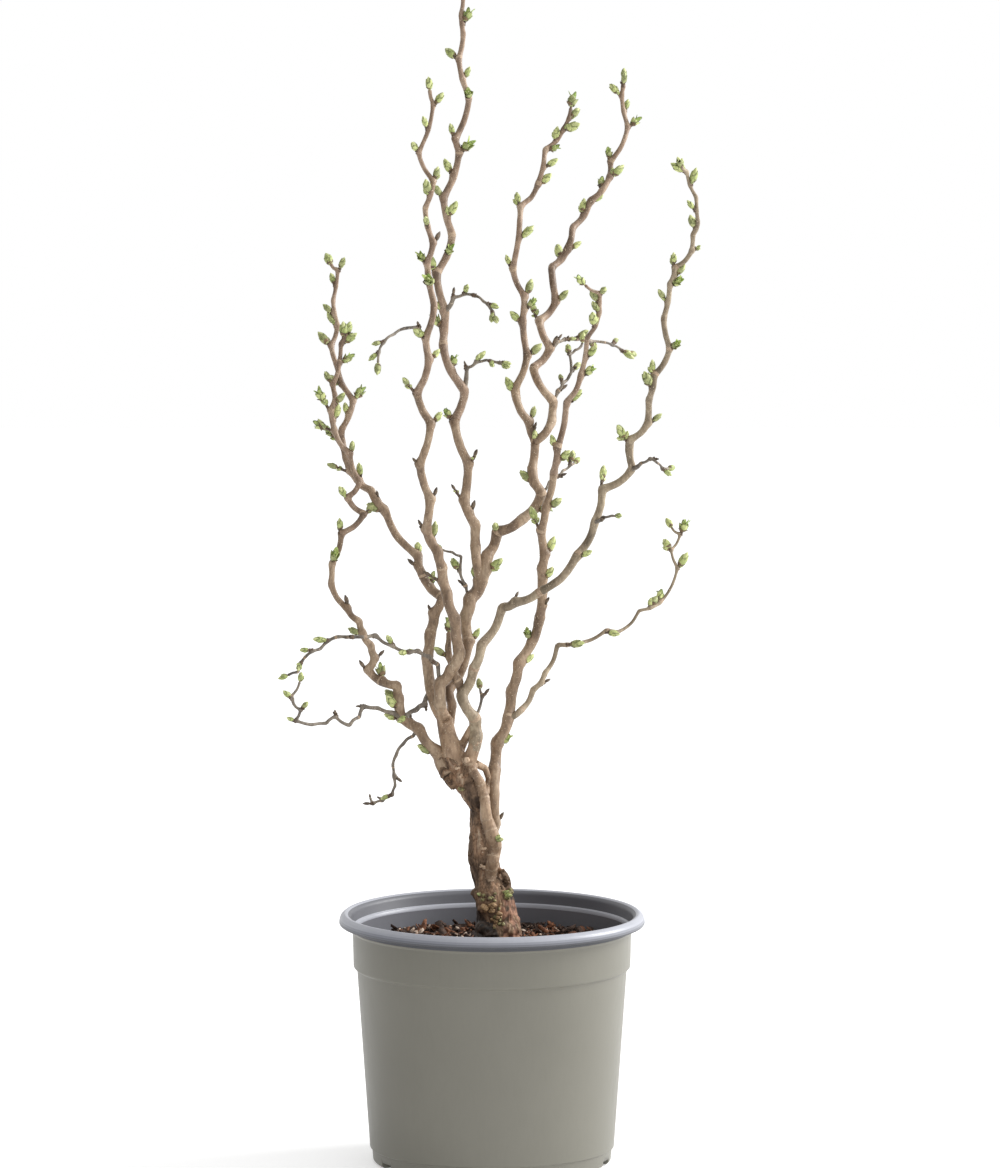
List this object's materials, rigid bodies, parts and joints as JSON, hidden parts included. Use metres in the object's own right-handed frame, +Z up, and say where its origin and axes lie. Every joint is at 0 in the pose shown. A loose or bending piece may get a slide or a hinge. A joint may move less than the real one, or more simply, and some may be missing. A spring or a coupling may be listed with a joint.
{
  "type": "potted corkscrew hazel",
  "caption": "Young hazel shrub with twisted bare stems and opening green buds, growing in a round grey nursery pot filled with bark compost.",
  "frame": {"origin": "centre of the pot's flat underside, on the floor", "axes": "+Z up along the pot's axis; +X to the right and +Y away from someone who faces the front"},
  "size_m": [0.2594, 0.2119, 0.7312],
  "materials": {
    "pot_plastic": "satin",
    "bark_compost": "rough",
    "bark": "matte",
    "budded_twigs": "matte"
  },
  "bodies": {
    "root": {"centre_bough": "bark", "compost": "bark_compost", "crossing_twig": "budded_twigs", "dead_twig": "budded_twigs", "far_right_bough": "bark", "far_right_spray": "budded_twigs", "fork_twig": "budded_twigs", "hanging_twig": "budded_twigs", "inner_right_bough": "bark", "inner_right_spray": "budded_twigs", "inner_stub_bough": "bark", "inner_twig": "budded_twigs", "leader_bough": "bark", "leader_spray": "budded_twigs", "left_bough": "bark", "left_centre_bough": "bark", "left_centre_spray": "budded_twigs", "left_spray": "budded_twigs", "link_twig": "budded_twigs", "long_left_twig": "budded_twigs", "low_left_bough": "bark", "low_left_spray": "budded_twigs", "low_left_twig": "budded_twigs", "low_left_upper_bough": "bark", "low_right_bough": "bark", "low_right_spray": "budded_twigs", "pot": "pot_plastic", "right_bough": "bark", "right_centre_bough": "bark", "right_centre_spray": "budded_twigs", "right_spray": "budded_twigs", "trunk": "bark"}
  },
  "joints": []
}
